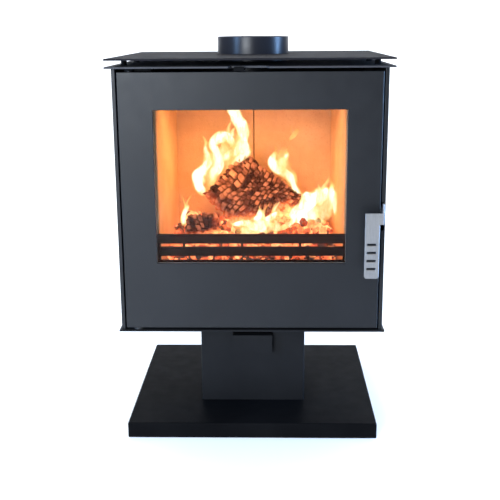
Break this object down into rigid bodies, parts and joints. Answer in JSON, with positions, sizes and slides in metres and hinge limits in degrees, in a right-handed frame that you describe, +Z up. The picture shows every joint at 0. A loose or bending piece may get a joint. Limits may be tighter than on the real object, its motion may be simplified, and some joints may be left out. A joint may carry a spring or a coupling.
{
  "type": "wood burning stove",
  "caption": "Steel wood burning stove on a pedestal: glazed hinged door with a latch handle, brick-lined firebox, log guard, two air controls, flue collar and a double top.",
  "frame": {"origin": "floor level, in the middle of the overall width and depth", "axes": "+X to the right of the door, +Y towards the back, +Z up"},
  "size_m": [0.47, 0.442, 0.6925],
  "materials": {
    "stove_paint": "satin high-temperature stove paint, charcoal",
    "collar_iron": "painted cast iron, satin",
    "grate_iron": "bare cast iron, heat-darkened",
    "firebox_steel": "matt black heat-resistant paint on welded plate",
    "galvanised_steel": "dull zinc-coated sheet",
    "firebrick": "matt firebrick, lightly pitted",
    "vermiculite": "pressed vermiculite board",
    "ceramic_glass": "clear ceramic glass",
    "seal_rope": "knitted glass-fibre rope and tape, graphite grey",
    "stainless": "brushed stainless steel",
    "bright_steel": "turned steel",
    "fastener_steel": "blackened steel fasteners",
    "charred_log": "split log, charred and checked, with pale ash",
    "embers": "glowing charcoal and ash"
  },
  "bodies": {
    "stove_body": {"base_plate": "stove_paint", "pedestal_shell": "stove_paint", "pedestal_rear_cover": "stove_paint", "pedestal_cover_screws": "fastener_steel", "pedestal_base_bolts": "fastener_steel", "pedestal_top_bolts": "fastener_steel", "air_valve_box": "firebox_steel", "bottom_plate": "stove_paint", "side_casing_left": "stove_paint", "side_casing_right": "stove_paint", "rear_casing": "stove_paint", "rear_casing_screws": "fastener_steel", "top_plate_upper": "stove_paint", "top_plate_lower": "stove_paint", "top_spacers": "stove_paint", "flue_collar": "collar_iron", "collar_bolts": "fastener_steel", "firebox_front_frame": "firebox_steel", "firebox_floor": "firebox_steel", "firebox_side_left": "firebox_steel", "firebox_side_right": "firebox_steel", "firebox_rear": "firebox_steel", "firebox_top_plate": "firebox_steel", "air_wash_deflector": "firebox_steel", "grate_frame": "grate_iron", "grate": "grate_iron", "floor_brick_front": "firebrick", "floor_brick_rear": "firebrick", "floor_bricks_side": "firebrick", "side_brick_left": "firebrick", "side_brick_right": "firebrick", "rear_brick_left": "firebrick", "rear_brick_right": "firebrick", "tertiary_air_channel": "firebox_steel", "baffle": "vermiculite", "ash_pan": "galvanised_steel", "log_guard_holders": "firebox_steel", "hinge_washer": "bright_steel", "hinge_bracket_upper": "firebox_steel", "catch_pin": "bright_steel", "ember_bed": "embers", "log_large": "charred_log", "log_small": "charred_log"},
    "door": {"door_panel": "stove_paint", "window_glass": "ceramic_glass", "glass_gasket": "seal_rope", "glass_clips": "galvanised_steel", "glass_clip_screws": "fastener_steel", "seal_channel": "firebox_steel", "door_seal": "seal_rope", "hinge_lugs": "firebox_steel", "hinge_pins": "bright_steel", "latch_bracket": "firebox_steel", "latch_spacer": "bright_steel", "latch_pivot_pin": "bright_steel"},
    "latch": {"latch_handle": "stainless"},
    "air_wash": {"air_wash_slider": "stove_paint"},
    "primary_air": {"primary_air_slide": "stove_paint"},
    "guard": {"log_guard": "stove_paint"}
  },
  "joints": [
    {"name": "door_hinge", "type": "hinge", "parent": "stove_body", "child": "door", "pos_m": [-0.19785, -0.1834, 0.42], "axis": [0, 0, -1], "range_deg": [0, 110]},
    {"name": "latch_lift", "type": "hinge", "parent": "door", "child": "latch", "pos_m": [0.2199, -0.175, 0.4057], "axis": [-1, 0, 0], "range_deg": [0, 30]},
    {"name": "air_wash_slide", "type": "slide", "parent": "stove_body", "child": "air_wash", "axis": [1, 0, 0], "range_m": [-0.005, 0.03]},
    {"name": "primary_air_pull", "type": "slide", "parent": "stove_body", "child": "primary_air", "axis": [0, -1, 0], "range_m": [0, 0.025]},
    {"name": "log_guard_lift", "type": "slide", "parent": "stove_body", "child": "guard", "axis": [0, 0, 1], "range_m": [0, 0.045]}
  ]
}
